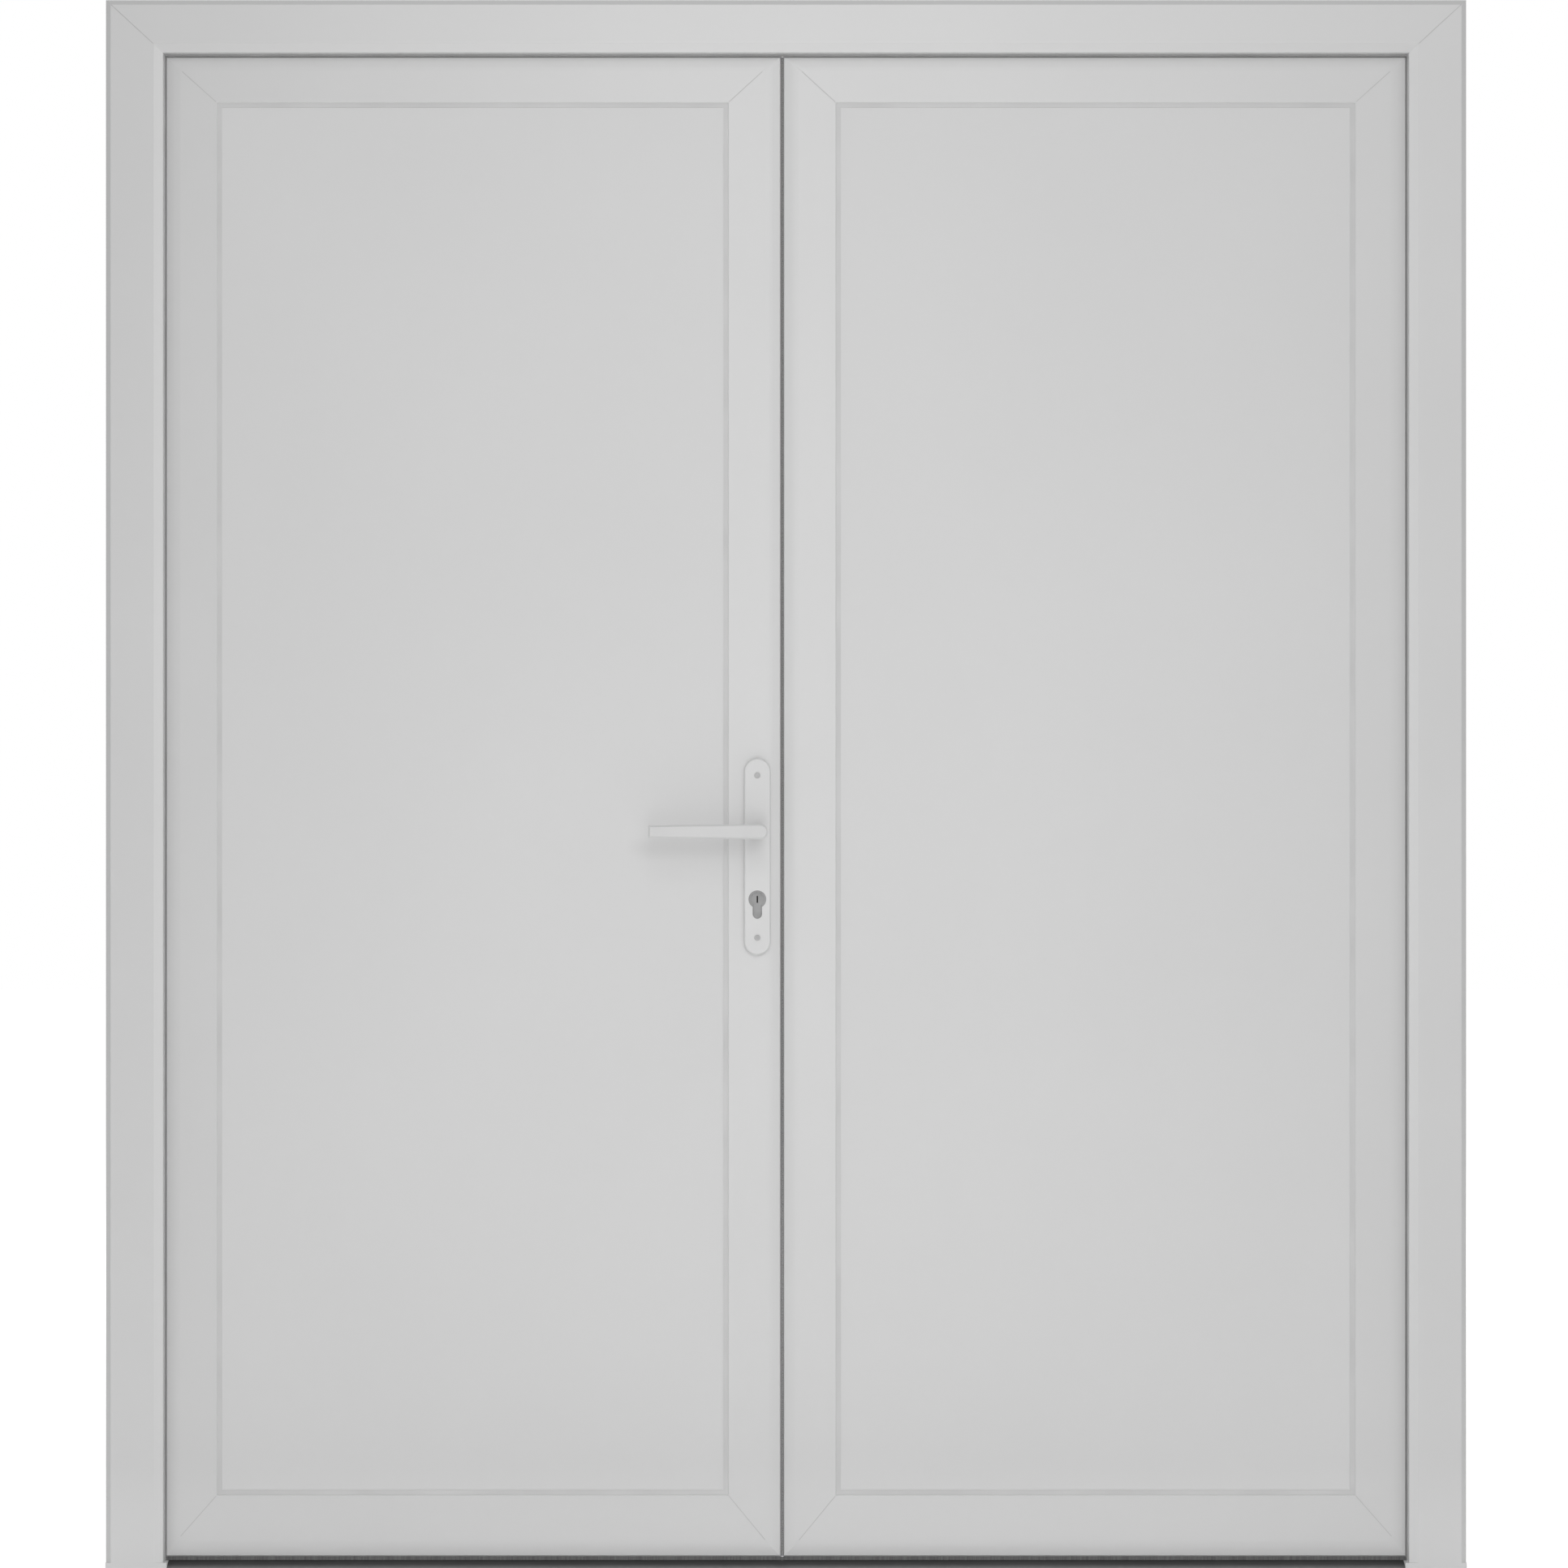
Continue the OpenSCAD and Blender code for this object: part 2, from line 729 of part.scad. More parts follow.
module frame_half() {
    half = hinge_h / 2;
    inner = knuckle_h / 2 + knuckle_air / 2;
    difference() {
        union() {
            box([hinge_u - wing_w, y_rear, -half], [hinge_u + 2, y_rear + wing_t, half]);
            for (s = [-1, 1]) translate([0, 0, s < 0 ? -half : inner]) {
                knuckle(0, half - inner);
                box([hinge_u - knuckle_r, y_rear, 0], [hinge_u, hinge_y, half - inner]);
            }
        }
        pin_bore();
    }
}

module leaf_half() {
    half = hinge_h / 2;
    inner = knuckle_h / 2 - knuckle_air / 2;
    difference() {
        union() {
            box([-flange_w + 1, y_back, -half], [-flange_w + 1 + wing_w, y_back + wing_t, half]);
            box([hinge_u, y_back, -inner], [-flange_w + 1, y_back + wing_t, inner]);
            knuckle(-inner, inner);
        }
        pin_bore();
    }
}

module pin() {
    head_h = 3;
    translate([hinge_u, hinge_y, -hinge_h / 2]) cylinder(r = hinge_pin_r, h = hinge_h);
    translate([hinge_u, hinge_y, hinge_h / 2]) cylinder(r = hinge_pin_r + 2, h = head_h);
}

module hinges(active) {
    at_leaf(active) for (z = hinge_heights()) translate([0, 0, z]) children();
}

module hinge_frame_half_left() color(grey) hinges(true) frame_half();
module hinge_frame_half_right() color(grey) hinges(false) frame_half();
module hinge_pin_left() color(metal) hinges(true) pin();
module hinge_pin_right() color(metal) hinges(false) pin();
module active_hinge_half() color(grey) hinges(true) leaf_half();
module passive_hinge_half() color(grey) hinges(false) leaf_half();

// Lock and handle on the active leaf

// Outline of the key cylinder about its key axis
module cylinder_outline(r, tail_w, drop) {
    circle(r);
    translate([-tail_w / 2, tail_w / 2 - drop]) square([tail_w, drop - tail_w / 2]);
    translate([0, tail_w / 2 - drop]) circle(tail_w / 2);
}

module at_key() {
    translate([lever_x, 0, key_z]) children();
}

module at_screws() {
    for (s = [-1, 1]) translate([lever_x, 0, plate_z + s * screw_pitch / 2]) children();
}

module active_lock_stile() {
    air = seal_air;
    color(white) difference() {
        meeting_stile(true);
        box([active_edge - face_t, y_lock - face_w / 2, lever_z - plate_drop - face_h / 2],
            [active_edge + 1, y_lock + face_w / 2, lever_z - plate_drop + face_h / 2]);
        box([case_x0 - air, y_lock - case_t / 2 - air, case_low - air],
            [active_edge, y_lock + case_t / 2 + air, case_top + air]);
        translate([lever_x, 0, lever_z]) rod_y(neck_r + 1, -far, far);
        at_key() slab_y(-far, far) cylinder_outline(cyl_r + air, cyl_tail_w + 2 * air, cyl_drop + air);
        at_screws() rod_y(screw_r + air, -far, far);
    }
}

module lock_case() {
    w = case_wall;
    color(metal) difference() {
        box([case_x0, y_lock - case_t / 2, case_low], [case_x1, y_lock + case_t / 2, case_top]);
        box([case_x0 + w, y_lock - case_t / 2 + w, case_low + w],
            [case_x1 + 1, y_lock + case_t / 2 - w, case_top - w]);
        translate([lever_x, 0, lever_z]) rod_y(hub_r + turn_air, -far, far);
        at_key() slab_y(-far, far)
            cylinder_outline(cyl_r + slide_air, cyl_tail_w + 2 * slide_air, cyl_drop + slide_air);
    }
}

module lock_faceplate() {
    color(metal) difference() {
        box([active_edge - face_t, y_lock - face_w / 2, plate_z - face_h / 2],
            [active_edge, y_lock + face_w / 2, plate_z + face_h / 2]);
        bolt_slot(dead_z, dead_h, slide_air);
        bolt_slot(latch_z, latch_h, slide_air);
        translate([active_edge - face_t, y_lock, cyl_screw_z]) rod_x_axis(cyl_screw_r + turn_air, -1, far);
    }
}

// Opening for a bolt of height h through a plate on either edge, with air round the bolt
module bolt_slot(z, h, air) {
    t = bolt_t / 2 + air;
    box([active_edge - face_t - 1, y_lock - t, z - h / 2 - air],
        [passive_edge + face_t + 1, y_lock + t, z + h / 2 + air]);
}

module deadbolt() {
    color(metal) box([active_edge - dead_len, y_lock - bolt_t / 2, dead_z - dead_h / 2],
        [active_edge, y_lock + bolt_t / 2, dead_z + dead_h / 2]);
}

// Drawn-back latch, with its slanted nose to the front
module latch() {
    t = bolt_t / 2;
    color(metal) translate([active_edge, y_lock, latch_z - latch_h / 2]) linear_extrude(latch_h) polygon([
        [-latch_len, -t], [-latch_throw, -t], [0, t - 2], [0, t], [-latch_len, t]
    ]);
}

module cylinder_body() {
    color(metal) difference() {
        at_key() slab_y(y_cyl_front, y_cyl_rear) cylinder_outline(cyl_r, cyl_tail_w, cyl_drop);
        at_key() rod_y(plug_r + turn_air, -far, far);
        at_key() box([-far, y_lock - cam_gap / 2, -web_top], [far, y_lock + cam_gap / 2, far]);
        translate([lever_x, y_lock, cyl_screw_z])
            rod_x_axis(cyl_screw_r + turn_air, -far, far);
    }
}

module cylinder_screw() {
    color(metal) translate([lever_x, y_lock, cyl_screw_z])
        rod_x_axis(cyl_screw_r, -cyl_tail_w / 2, backset - 0.5);
}

// A key plug from y0 to y1 with its keyway open at the end given
module key_plug(y0, y1, front) {
    color(metal) at_key() difference() {
        rod_y(plug_r, y0, y1);
        translate([-keyway_w / 2, front ? y0 - 1 : y1 - keyway_d, -keyway_h / 2])
            cube([keyway_w, keyway_d + 1, keyway_h]);
    }
}

module key_plug_front() key_plug(y_cyl_front, y_lock - cam_t / 2, true);
module key_plug_back() key_plug(y_lock + cam_gap / 2, y_cyl_rear, false);

module cylinder_cam() {
    lug = 7;
    color(metal) at_key() {
        rod_y(plug_r + 1, y_lock - cam_t / 2, y_lock + cam_t / 2);
        rotate([0, 150, 0]) box([-lug / 2, y_lock - cam_t / 2, 0], [lug / 2, y_lock + cam_t / 2, cam_reach]);
    }
}

// A round-ended plate on Z = 0 with its outer edge chamfered
module plate_blank(r, s, t, c) {
    for (e = [-s, s]) translate([0, e, 0]) {
        cylinder(r = r, h = t - c);
        translate([0, 0, t - c]) cylinder(r1 = r, r2 = r - c, h = c);
    }
    rotate([90, 0, 0]) translate([0, 0, -s]) linear_extrude(2 * s) polygon([
        [-r, 0], [r, 0], [r, t - c], [r - c, t], [c - r, t], [-r, t - c]
    ]);
}

// A hollow handle plate, drawn lying with its back on Z = 0 and the lever's axis at the origin
module handle_plate() {
    r = plate_w / 2;
    s = plate_h / 2 - r;
    inner = r - plate_wall;
    floor_z = plate_t - plate_wall;
    key_y = -lever_to_key;
    difference() {
        translate([0, -plate_drop, 0]) plate_blank(r, s, plate_t, plate_chamfer);
        difference() {
            translate([0, -plate_drop, -1]) linear_extrude(floor_z + 1) {
                translate([-inner, -s]) square([2 * inner, 2 * s]);
                for (e = [-s, s]) translate([0, e]) circle(inner);
            }
            for (e = [-1, 1]) translate([0, -plate_drop + e * screw_pitch / 2, -2])
                cylinder(r = boss_r, h = plate_t);
            translate([0, 0, -2]) cylinder(r = neck_r + 3, h = plate_t);
        }
        translate([0, 0, -1]) cylinder(r = neck_r + turn_air, h = plate_t + 2);
        translate([0, key_y, -1]) linear_extrude(plate_t + 2)
            cylinder_outline(cyl_cut_r, cyl_tail_w + 2 * cyl_cut_air, cyl_drop + cyl_cut_air);
        for (e = [-1, 1]) translate([0, -plate_drop + e * screw_pitch / 2, -1])
            cylinder(r = screw_r + turn_air, h = plate_t + 2);
    }
}

// Puts a piece drawn on Z = 0 about the lever's axis on the leaf's front or back
module at_front() {
    translate([lever_x, y_leaf, lever_z]) rotate([90, 0, 0]) children();
}

module at_back() {
    translate([lever_x, y_back, lever_z]) mirror([0, 1, 0]) rotate([90, 0, 0]) children();
}

module plate_front() color(white) at_front() handle_plate();
module plate_back() color(white) at_back() handle_plate();

// Collar that fills the plate's opening round the cylinder; its foot is held under the plate
module collar() {
    foot_t = plate_t - plate_wall - slide_air;
    air = cyl_cut_air - collar_air;
    translate([0, -lever_to_key, 0]) difference() {
        union() {
            linear_extrude(plate_t - collar_sunk)
                cylinder_outline(cyl_cut_r - collar_air, cyl_tail_w + 2 * air, cyl_drop + air);
            linear_extrude(foot_t) cylinder_outline(
                cyl_cut_r + collar_foot, cyl_tail_w + 2 * (cyl_cut_air + collar_foot),
                cyl_drop + cyl_cut_air + collar_foot);
        }
        translate([0, 0, -1]) linear_extrude(plate_t + 2)
            cylinder_outline(cyl_r + collar_air, cyl_tail_w + 2 * collar_air, cyl_drop + collar_air);
    }
}

module cylinder_collars() color(metal) {
    at_front() collar();
    at_back() collar();
}

module plate_screws() {
    head_h = 1.2;
    color(metal) at_screws() {
        rod_y(screw_r, y_leaf - plate_t, y_back + plate_t - 1);
        rod_y(screw_head_r, y_leaf - plate_t - head_h, y_leaf - plate_t);
    }
}

// Lever with its neck through the plate; the grip runs to -X
module lever() {
    bar_z = plate_t + lever_reach - lever_t;
    e = 2;
    difference() {
        union() {
            translate([0, 0, 0.5]) cylinder(r = neck_r, h = bar_z + lever_t / 2 - 0.5);
            hull() {
                for (i = [0, 1]) translate([hub_past, 0, bar_z + i * e])
                    cylinder(r = lever_hub_h / 2 - e + i * e, h = lever_t - 2 * i * e, $fn = 32);
                for (i = [0, 1]) translate([-lever_len, -lever_tip_h / 2 + e - i * e, bar_z + lever_t / 4 + i * e])
                    translate([e - i * e, 0, 0])
                        cube([1, lever_tip_h - 2 * e + 2 * i * e, lever_t * 3 / 4 - 2 * i * e]);
            }
        }
        translate([0, 0, spindle_end / 2]) cube([spindle_w + 2 * turn_air, spindle_w + 2 * turn_air, spindle_end + 2], center = true);
        translate([0, 0, spindle_end - 8]) rotate([90, 0, 0]) cylinder(r = grub_r + turn_air, h = neck_r + 1);
    }
}

module lever_front() color(white) at_front() lever();
module lever_back() color(white) at_back() lever();

module grub() {
    translate([0, 0, spindle_end - 8]) rotate([90, 0, 0])
        translate([0, 0, spindle_w / 2]) cylinder(r = grub_r, h = neck_r - spindle_w / 2);
}

module grub_screws() color(metal) {
    at_front() grub();
    at_back() grub();
}

module spindle() {
    half = spindle_w / 2;
    color(metal) translate([lever_x, 0, lever_z])
        box([-half, y_leaf - spindle_end, -half], [half, y_back + spindle_end, half]);
}

module follower() {
    inside = case_t / 2 - case_wall - slide_air;
    hole = spindle_w + 2 * turn_air;
    color(metal) translate([lever_x, y_lock, lever_z]) difference() {
        union() {
            rod_y(follower_r, -inside, inside);
            rod_y(hub_r, -case_t / 2, case_t / 2);
        }
        translate([-hole / 2, -case_t, -hole / 2]) cube([hole, 2 * case_t, hole]);
    }
}

// Meeting edge of the passive leaf

// Middle height of a flush bolt's edge plate, at the top or the bottom
function bolt_z(top) = top ? leaf_top - bolt_plate_inset : leaf_low + bolt_plate_inset;

// Draws a flush bolt piece with its throw upwards, or turned over for the bottom
module at_bolt(top) {
    translate([0, y_lock, bolt_z(top)]) mirror([0, 0, top ? 0 : 1]) children();
}

module bolt_recess(top) {
    air = slide_air;
    w = thumb_w / 2 + air;
    at_bolt(top) {
        box([passive_edge - 1, -face_w / 2, -bolt_plate_h / 2], [passive_edge + face_t, face_w / 2, bolt_plate_h / 2]);
        box([passive_edge, -w, -thumb_h / 2 - air], [rod_x + rod_r + air, w, thumb_h / 2 + rod_throw + air]);
        translate([rod_x, 0, 0]) cylinder(r = rod_r + 2 * turn_air, h = 2 * bolt_plate_inset);
    }
}

module passive_meeting_stile() {
    color(white) difference() {
        meeting_stile(false);
        box([passive_edge - 1, y_lock - face_w / 2, plate_z - face_h / 2],
            [passive_edge + face_t, y_lock + face_w / 2, plate_z + face_h / 2]);
        strike_pocket(dead_z, dead_h, dead_throw);
        strike_pocket(latch_z, latch_h, latch_throw);
        for (top = [true, false]) bolt_recess(top);
    }
}

// Room behind the strike for a bolt thrown by the given length
module strike_pocket(z, h, throw) {
    t = bolt_t / 2 + strike_air;
    box([passive_edge, y_lock - t, z - h / 2 - strike_air],
        [active_edge + throw + 2, y_lock + t, z + h / 2 + strike_air]);
}

module passive_top_rail() color(white) difference() {
    top_rail(false);
    bolt_recess(true);
}

module active_top_rail() color(white) top_rail(true);

module passive_bottom_rail() color(white) difference() {
    bottom_rail(false);
    bolt_recess(false);
}

module strike_plate() {
    color(metal) difference() {
        box([passive_edge, y_lock - face_w / 2, plate_z - face_h / 2],
            [passive_edge + face_t, y_lock + face_w / 2, plate_z + face_h / 2]);
        bolt_slot(dead_z, dead_h, strike_air);
        bolt_slot(latch_z, latch_h, strike_air);
    }
}

// Seal lips on both meeting edges: each sits in a groove, and their tips almost meet.
// The passive leaf's lip lies behind the other, so that either leaf can swing first.

// Front face of a meeting lip
function lip_y(active) = y_leaf + border_d + edge_chamfer + meet_lip_set + (active ? 0 : meet_lip_t + seal_air);

// A strip in a leaf's meeting edge that stands out by proud and runs past the leaf's ends
module meeting_strip(active, proud, past) {
    w = leaf_w(active);
    box([w - meet_lip_in, lip_y(active), leaf_low - past],
        [w + proud, lip_y(active) + meet_lip_t, leaf_top - step_top + past]);
}

module meeting_groove(active) meeting_strip(active, 1, 1);

module meeting_lip(active) {
    color(black) at_leaf(active) meeting_strip(active, (meet_gap - lip_slit) / 2, 0);
}

module active_meeting_seal() meeting_lip(true);
module meeting_seal() meeting_lip(false);

module flush_plate(top) {
    w = thumb_w / 2 + slide_air;
    color(metal) at_bolt(top) difference() {
        box([passive_edge, -face_w / 2, -bolt_plate_h / 2], [passive_edge + face_t, face_w / 2, bolt_plate_h / 2]);
        box([passive_edge - 1, -w, -thumb_h / 2 - slide_air],
            [rod_x, w, thumb_h / 2 + rod_throw + slide_air]);
    }
}

module flush_plate_top() flush_plate(true);
module flush_plate_bottom() flush_plate(false);

module flush_bolt(top) {
    color(metal) at_bolt(top) {
        translate([rod_x, 0, -thumb_h / 2]) cylinder(r = rod_r, h = bolt_plate_inset + thumb_h / 2 - 1);
        box([passive_edge + thumb_set, -thumb_w / 2, -thumb_h / 2], [rod_x, thumb_w / 2, thumb_h / 2]);
    }
}

module flush_bolt_top() flush_bolt(true);
module flush_bolt_bottom() flush_bolt(false);

module active_hinge_stile() hinge_stile(true);
module passive_hinge_stile() hinge_stile(false);
module active_bottom_rail() color(white) bottom_rail(true);
module active_panel() panel(true);
module passive_panel() panel(false);
module active_panel_seal() panel_seal(true);
module passive_panel_seal() panel_seal(false);
module active_inner_seal() inner_seal(true);
module passive_inner_seal() inner_seal(false);
module active_beads() beads(true);
module passive_beads() beads(false);
module active_flange_seal() flange_seal(true);
module passive_flange_seal() flange_seal(false);
module active_bottom_seal() bottom_seal(true);
module passive_bottom_seal() bottom_seal(false);

jamb_left();
jamb_right();
head();
sill();
foot_left();
foot_right();
frame_seal();
hinge_frame_half_left();
hinge_frame_half_right();
hinge_pin_left();
hinge_pin_right();
head_keep();
sill_keep();
active_hinge_stile();
active_lock_stile();
active_top_rail();
active_bottom_rail();
active_panel();
active_panel_seal();
active_inner_seal();
active_beads();
active_flange_seal();
active_bottom_seal();
active_hinge_half();
active_meeting_seal();
lock_case();
lock_faceplate();
cylinder_body();
cylinder_screw();
cylinder_collars();
plate_front();
plate_back();
plate_screws();
lever_front();
lever_back();
spindle();
follower();
grub_screws();
latch();
deadbolt();
key_plug_front();
cylinder_cam();
key_plug_back();
passive_hinge_stile();
passive_meeting_stile();
passive_top_rail();
passive_bottom_rail();
passive_panel();
passive_panel_seal();
passive_inner_seal();
passive_beads();
passive_flange_seal();
passive_bottom_seal();
passive_hinge_half();
strike_plate();
meeting_seal();
flush_plate_top();
flush_plate_bottom();
flush_bolt_top();
flush_bolt_bottom();
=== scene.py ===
import json
import math

import bmesh
import bpy
from mathutils import Matrix, Vector


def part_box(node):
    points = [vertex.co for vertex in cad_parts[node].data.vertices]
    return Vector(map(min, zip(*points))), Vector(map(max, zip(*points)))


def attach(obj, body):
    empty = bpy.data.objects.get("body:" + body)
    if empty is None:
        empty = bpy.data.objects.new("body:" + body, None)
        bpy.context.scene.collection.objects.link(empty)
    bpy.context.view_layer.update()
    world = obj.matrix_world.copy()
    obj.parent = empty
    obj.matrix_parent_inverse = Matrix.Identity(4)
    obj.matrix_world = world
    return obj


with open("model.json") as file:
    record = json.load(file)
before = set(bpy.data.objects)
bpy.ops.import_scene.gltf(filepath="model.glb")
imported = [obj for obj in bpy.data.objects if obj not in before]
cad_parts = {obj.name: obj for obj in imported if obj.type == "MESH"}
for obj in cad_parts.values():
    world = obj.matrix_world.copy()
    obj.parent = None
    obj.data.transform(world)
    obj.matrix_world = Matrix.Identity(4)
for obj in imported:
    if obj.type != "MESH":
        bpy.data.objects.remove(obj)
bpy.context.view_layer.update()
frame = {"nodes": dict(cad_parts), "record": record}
nodes = frame["nodes"]
print("frame loaded:", len(nodes), "nodes")


# Finishes: each has a slow drift of colour, uneven gloss and a fine skin

even = (1, 1, 1)
noiseLook = {"low": 0.3, "high": 0.7, "driftDetail": 2.0, "grainDetail": 4.0}  # low to high: most noise
plainLook = {"driftStretch": even, "grainStretch": even, "bumpDepth": 0.0002, "metal": 0.0, "specular": 0.5}


def grey(level):
    return (level, level, level)


def newMaterial(name):
    mat = bpy.data.materials.new(name)
    mat.use_nodes = True
    tree = mat.node_tree
    return mat, tree, tree.nodes["Principled BSDF"]


def noiseOn(tree, scale, stretch, detail):
    coord = tree.nodes.new("ShaderNodeTexCoord")
    mapping = tree.nodes.new("ShaderNodeMapping")
    mapping.inputs["Scale"].default_value = stretch
    noise = tree.nodes.new("ShaderNodeTexNoise")
    noise.inputs["Scale"].default_value = scale
    noise.inputs["Detail"].default_value = detail
    tree.links.new(coord.outputs["Object"], mapping.inputs["Vector"])
    tree.links.new(mapping.outputs["Vector"], noise.inputs["Vector"])
    return noise


def spread(tree, source, low, high):
    ramp = tree.nodes.new("ShaderNodeMapRange")
    ramp.inputs["From Min"].default_value = noiseLook["low"]
    ramp.inputs["From Max"].default_value = noiseLook["high"]
    ramp.inputs["To Min"].default_value = low
    ramp.inputs["To Max"].default_value = high
    tree.links.new(source.outputs["Fac"], ramp.inputs["Value"])
    return ramp


def tint(tree, source, low, high):
    ramp = tree.nodes.new("ShaderNodeValToRGB")
    ramp.color_ramp.elements[0].position = noiseLook["low"]
    ramp.color_ramp.elements[1].position = noiseLook["high"]
    ramp.color_ramp.elements[0].color = (*low, 1)
    ramp.color_ramp.elements[1].color = (*high, 1)
    tree.links.new(source.outputs["Fac"], ramp.inputs["Fac"])
    return ramp


def bumpFrom(tree, source, strength, distance):
    bump = tree.nodes.new("ShaderNodeBump")
    bump.inputs["Strength"].default_value = strength
    bump.inputs["Distance"].default_value = distance
    tree.links.new(source.outputs["Fac"], bump.inputs["Height"])
    return bump


# Painted light: another colour along the foot of a piece, up to a height; on the sill it is lighter and
# stands in for light on its nose
def footPaintedLight(tree, colour, foot):
    coord = tree.nodes.new("ShaderNodeTexCoord")
    split = tree.nodes.new("ShaderNodeSeparateXYZ")
    rise = tree.nodes.new("ShaderNodeMapRange")
    rise.inputs["From Min"].default_value = foot["from"]
    rise.inputs["From Max"].default_value = foot["to"]
    blend = tree.nodes.new("ShaderNodeMixRGB")
    blend.inputs["Color1"].default_value = (*foot["colour"], 1)
    tree.links.new(coord.outputs["Object"], split.inputs["Vector"])
    tree.links.new(split.outputs["Z"], rise.inputs["Value"])
    tree.links.new(rise.outputs["Result"], blend.inputs["Fac"])
    tree.links.new(colour.outputs["Color"], blend.inputs["Color2"])
    return blend


def finish(name, ownLook):
    look = {**plainLook, **ownLook}
    mat, tree, shader = newMaterial(name)
    drift = noiseOn(tree, look["driftScale"], look["driftStretch"], noiseLook["driftDetail"])
    grain = noiseOn(tree, look["grainScale"], look["grainStretch"], noiseLook["grainDetail"])
    colour = tint(tree, drift, look["dark"], look["light"])
    if "foot" in look:
        colour = footPaintedLight(tree, colour, look["foot"])
    gloss = spread(tree, grain, *look["roughness"])
    skin = bumpFrom(tree, grain, look["bump"], look["bumpDepth"])
    tree.links.new(colour.outputs["Color"], shader.inputs["Base Color"])
    tree.links.new(gloss.outputs["Result"], shader.inputs["Roughness"])
    tree.links.new(skin.outputs["Normal"], shader.inputs["Normal"])
    shader.inputs["Metallic"].default_value = look["metal"]
    shader.inputs["Specular IOR Level"].default_value = look["specular"]
    return mat


finishes = {
    "frame_white": {
        "dark": grey(0.580), "light": grey(0.594), "driftScale": 3.0,
        "grainScale": 900.0, "roughness": (0.36, 0.46), "bump": 0.04,
    },
    "leaf_white": {
        "dark": grey(0.568), "light": grey(0.582), "driftScale": 3.0,
        "grainScale": 900.0, "roughness": (0.36, 0.46), "bump": 0.04,
    },
    "panel_white": {
        "dark": grey(0.608), "light": grey(0.622), "driftScale": 2.0,
        "grainScale": 600.0, "roughness": (0.60, 0.72), "bump": 0.05, "specular": 0.3,
    },
    "hardware_white": {
        "dark": grey(0.600), "light": grey(0.620), "driftScale": 20.0,
        "grainScale": 1600.0, "roughness": (0.48, 0.58), "bump": 0.08, "specular": 0.45,
    },
    # painted shade: the hardware white made darker for the levers, which stand out in front and catch more
    # light than the plates
    "lever_white_painted_shade": {
        "dark": grey(0.552), "light": grey(0.572), "driftScale": 20.0,
        "grainScale": 1600.0, "roughness": (0.48, 0.58), "bump": 0.08, "specular": 0.45,
    },
    "screw_zinc": {
        "dark": grey(0.44), "light": grey(0.50), "driftScale": 200.0,
        "grainScale": 2400.0, "roughness": (0.70, 0.85), "bump": 0.10, "specular": 0.15,
    },
    "seal_grey": {
        "dark": grey(0.52), "light": grey(0.57), "driftScale": 12.0,
        "grainScale": 1200.0, "roughness": (0.60, 0.75), "bump": 0.10, "specular": 0.3,
    },
    # painted shade: the grey of the strips in the weld grooves, darker than the white plastic
    "weld_groove_shade": {
        "dark": grey(0.43), "light": grey(0.47), "driftScale": 8.0,
        "grainScale": 900.0, "roughness": (0.55, 0.70), "bump": 0.10, "specular": 0.3,
    },
    # painted light: a light grey for the frame seal, which lightens the shaded gap round the leaves
    "lip_seal_painted_light": {
        "dark": grey(0.30), "light": grey(0.36), "driftScale": 12.0,
        "grainScale": 1200.0, "roughness": (0.60, 0.75), "bump": 0.10, "specular": 0.3,
    },
    "seal_black": {
        "dark": grey(0.022), "light": grey(0.034), "driftScale": 12.0,
        "grainScale": 1200.0, "roughness": (0.60, 0.80), "bump": 0.10, "specular": 0.3,
    },
    "seal_slate": {
        "dark": grey(0.014), "light": grey(0.020), "driftScale": 12.0,
        "grainScale": 1200.0, "roughness": (0.60, 0.80), "bump": 0.10, "specular": 0.3,
    },
    "brush_grey": {
        "dark": grey(0.09), "light": grey(0.16), "driftScale": 700.0, "driftStretch": (1, 1, 0.05),
        "grainScale": 1500.0, "grainStretch": (1, 1, 0.05), "roughness": (0.80, 0.95),
        "bump": 0.60, "bumpDepth": 0.0006, "specular": 0.2,
    },
    "sill_metal": {
        "dark": grey(0.066), "light": grey(0.086), "driftScale": 5.0,
        "grainScale": 900.0, "grainStretch": (0.02, 1, 1), "roughness": (0.38, 0.52),
        "bump": 0.10, "metal": 0.6,
        # painted light: the sill's lowest few millimetres lighter, standing in for light on its nose
        "foot": {"from": 0.0130, "to": 0.0162, "colour": grey(0.20)},
    },
    "steel": {
        "dark": grey(0.25), "light": grey(0.32), "driftScale": 30.0,
        "grainScale": 1200.0, "grainStretch": (1, 1, 0.06), "roughness": (0.40, 0.54),
        "bump": 0.06, "metal": 1.0,
    },
    "cylinder_nickel": {
        "dark": grey(0.16), "light": grey(0.19), "driftScale": 60.0,
        "grainScale": 1800.0, "grainStretch": (0.06, 1, 1), "roughness": (0.42, 0.54),
        "bump": 0.06, "metal": 0.8, "specular": 0.3,
    },
}

# Pieces that show another finish than that of their slot
otherFinish = {
    # the frame seal takes painted light: a lighter grey that lightens the gap
    "frame_seal": "lip_seal_painted_light",  # grey in the gap round the leaves
    # the levers take a darker copy of the hardware white: painted shade
    "lever_front": "lever_white_painted_shade", "lever_back": "lever_white_painted_shade",
    "plate_screws": "screw_zinc", "plate_screw_heads": "screw_zinc",
    # the weld seams take painted shade in their grooves
    "frame_weld_seams": "weld_groove_shade", "active_weld_seams": "weld_groove_shade", "passive_weld_seams": "weld_groove_shade",
}

materials = {name: finish(name, look) for name, look in finishes.items()}


def materialFor(piece, slot):
    return materials[otherFinish.get(piece, slot)]


